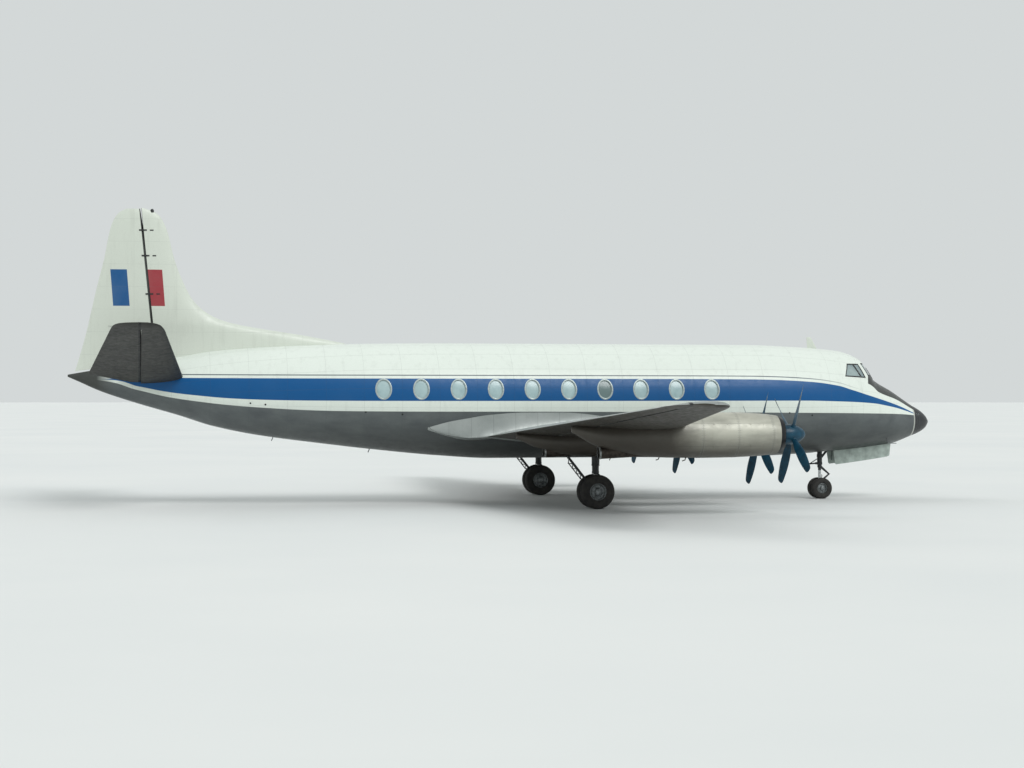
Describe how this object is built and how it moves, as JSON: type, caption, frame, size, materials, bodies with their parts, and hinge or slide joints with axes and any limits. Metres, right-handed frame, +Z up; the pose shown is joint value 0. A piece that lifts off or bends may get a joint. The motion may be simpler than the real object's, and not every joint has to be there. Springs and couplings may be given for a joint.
{
  "type": "four-engined turboprop narrow body airliner",
  "caption": "Short-haul airliner with turboprops under a low wing, oval cabin windows, hinged doors, flaps and control surfaces, standing on twin-wheel gear.",
  "frame": {"origin": "on the ground under the middle of the length and the span", "axes": "+X towards the nose, +Y to port, +Z up"},
  "size_m": [24.93, 28.56, 8.16],
  "materials": {
    "black_radome": "black anti-static paint, faded",
    "window_glass": "tinted cockpit panes",
    "painted_skin": "white paint over riveted sheet with a blue band and a bare belly",
    "wing_metal": "weathered grey metal with rivet lines",
    "nacelle_paint": "pale grey cowling panels with soot",
    "engine_metal": "dark engine casing",
    "exhaust_metal": "heat-stained steel",
    "propeller_paint": "dark blue-green paint with worn leading edges",
    "gear_paint": "grey paint with oil stains",
    "wheel_metal": "cast wheel halves",
    "tyre_rubber": "worn ribbed aircraft tyre"
  },
  "bodies": {
    "airframe": {"radome": "black_radome", "cockpit_glazing": "window_glass", "fuselage_nose": "painted_skin", "fuselage_centre": "painted_skin", "fuselage_rear": "painted_skin", "fin": "painted_skin", "aerial_mast": "painted_skin", "wing_left": "wing_metal", "wing_right": "wing_metal", "tailplane_left": "wing_metal", "tailplane_right": "wing_metal", "nacelle_inner_left": "nacelle_paint", "nacelle_inner_right": "nacelle_paint", "engine_inner_left": "engine_metal", "engine_inner_right": "engine_metal", "jet_pipe_inner_left": "exhaust_metal", "jet_pipe_inner_right": "exhaust_metal", "nacelle_outer_left": "nacelle_paint", "nacelle_outer_right": "nacelle_paint", "engine_outer_left": "engine_metal", "engine_outer_right": "engine_metal", "jet_pipe_outer_left": "exhaust_metal", "jet_pipe_outer_right": "exhaust_metal", "main_leg_left": "gear_paint", "main_leg_right": "gear_paint", "main_drag_brace_left": "gear_paint", "main_drag_brace_right": "gear_paint", "nose_leg": "gear_paint", "nose_gear_door_left": "painted_skin", "nose_gear_door_right": "painted_skin"},
    "propeller_inner_left": {"propeller_inner_left": "propeller_paint"},
    "propeller_inner_right": {"propeller_inner_right": "propeller_paint"},
    "propeller_outer_left": {"propeller_outer_left": "propeller_paint"},
    "propeller_outer_right": {"propeller_outer_right": "propeller_paint"},
    "main_wheels_left": {"main_hubs_left": "wheel_metal", "main_tyre_outer_left": "tyre_rubber", "main_tyre_inner_left": "tyre_rubber"},
    "main_wheels_right": {"main_hubs_right": "wheel_metal", "main_tyre_outer_right": "tyre_rubber", "main_tyre_inner_right": "tyre_rubber"},
    "nose_steering": {"nose_fork": "gear_paint"},
    "nose_wheels": {"nose_hubs": "wheel_metal", "nose_tyre_left": "tyre_rubber", "nose_tyre_right": "tyre_rubber"},
    "flaps_left": {"flap_inner_left": "wing_metal", "flap_middle_left": "wing_metal", "flap_outer_left": "wing_metal"},
    "aileron_left": {"aileron_left": "wing_metal"},
    "elevator_left": {"elevator_left": "wing_metal"},
    "flaps_right": {"flap_inner_right": "wing_metal", "flap_middle_right": "wing_metal", "flap_outer_right": "wing_metal"},
    "aileron_right": {"aileron_right": "wing_metal"},
    "elevator_right": {"elevator_right": "wing_metal"},
    "rudder": {"rudder": "painted_skin"},
    "door_front": {"door_front": "painted_skin"},
    "door_rear": {"door_rear": "painted_skin"}
  },
  "joints": [
    {"name": "propeller_inner_left_spin", "type": "hinge", "parent": "airframe", "child": "propeller_inner_left", "pos_m": [5.945, 3.63, 1.85], "axis": [1, 0, 0], "continuous": true},
    {"name": "propeller_inner_right_spin", "type": "hinge", "parent": "airframe", "child": "propeller_inner_right", "pos_m": [5.945, -3.63, 1.85], "axis": [1, 0, 0], "continuous": true},
    {"name": "propeller_outer_left_spin", "type": "hinge", "parent": "airframe", "child": "propeller_outer_left", "pos_m": [5.595, 7.3, 2.04], "axis": [1, 0, 0], "continuous": true},
    {"name": "propeller_outer_right_spin", "type": "hinge", "parent": "airframe", "child": "propeller_outer_right", "pos_m": [5.595, -7.3, 2.04], "axis": [1, 0, 0], "continuous": true},
    {"name": "main_wheels_left_spin", "type": "hinge", "parent": "airframe", "child": "main_wheels_left", "pos_m": [1.405, 3.63, 0.457], "axis": [0, 1, 0], "continuous": true},
    {"name": "main_wheels_right_spin", "type": "hinge", "parent": "airframe", "child": "main_wheels_right", "pos_m": [1.405, -3.63, 0.457], "axis": [0, 1, 0], "continuous": true},
    {"name": "nose_steering_turn", "type": "hinge", "parent": "airframe", "child": "nose_steering", "pos_m": [9.085, 0, 0.7], "axis": [0, 0, 1], "range_deg": [-50, 50]},
    {"name": "nose_wheels_spin", "type": "hinge", "parent": "nose_steering", "child": "nose_wheels", "pos_m": [9.085, 0, 0.305], "axis": [0, 1, 0], "continuous": true},
    {"name": "flaps_left_lower", "type": "hinge", "parent": "airframe", "child": "flaps_left", "pos_m": [0.0386, 1.708, 1.959], "axis": [-0.0653, -0.9955, -0.0694], "range_deg": [0, 40]},
    {"name": "aileron_left_turn", "type": "hinge", "parent": "airframe", "child": "aileron_left", "pos_m": [0.5306, 9.208, 2.4818], "axis": [0.0653, 0.9955, 0.0694], "range_deg": [-18, 18]},
    {"name": "elevator_left_turn", "type": "hinge", "parent": "airframe", "child": "elevator_left", "pos_m": [-10.575, 0.578, 3.4995], "axis": [0, 0.9681, 0.2504], "range_deg": [-15, 25]},
    {"name": "flaps_right_lower", "type": "hinge", "parent": "airframe", "child": "flaps_right", "pos_m": [0.0386, -1.708, 1.959], "axis": [0.0653, -0.9955, 0.0694], "range_deg": [0, 40]},
    {"name": "aileron_right_turn", "type": "hinge", "parent": "airframe", "child": "aileron_right", "pos_m": [0.5306, -9.208, 2.4818], "axis": [-0.0653, 0.9955, -0.0694], "range_deg": [-18, 18]},
    {"name": "elevator_right_turn", "type": "hinge", "parent": "airframe", "child": "elevator_right", "pos_m": [-10.575, -0.578, 3.4995], "axis": [0, 0.9681, -0.2504], "range_deg": [-15, 25]},
    {"name": "rudder_turn", "type": "hinge", "parent": "airframe", "child": "rudder", "pos_m": [-10.111, 0, 3.7], "axis": [-0.0995, 0, 0.995], "range_deg": [-20, 20]},
    {"name": "door_front_swing", "type": "hinge", "parent": "airframe", "child": "door_front", "pos_m": [7.755, 1.655, 2.86], "axis": [0, 0, -1], "range_deg": [0, 95]},
    {"name": "door_rear_swing", "type": "hinge", "parent": "airframe", "child": "door_rear", "pos_m": [-5.195, 1.45, 2.86], "axis": [0, 0, -1], "range_deg": [0, 95]}
  ],
  "couplings": [
    {"joint": "flaps_right_lower", "follows": "flaps_left_lower", "ratio": 1},
    {"joint": "aileron_right_turn", "follows": "aileron_left_turn", "ratio": -1},
    {"joint": "elevator_right_turn", "follows": "elevator_left_turn", "ratio": 1}
  ]
}
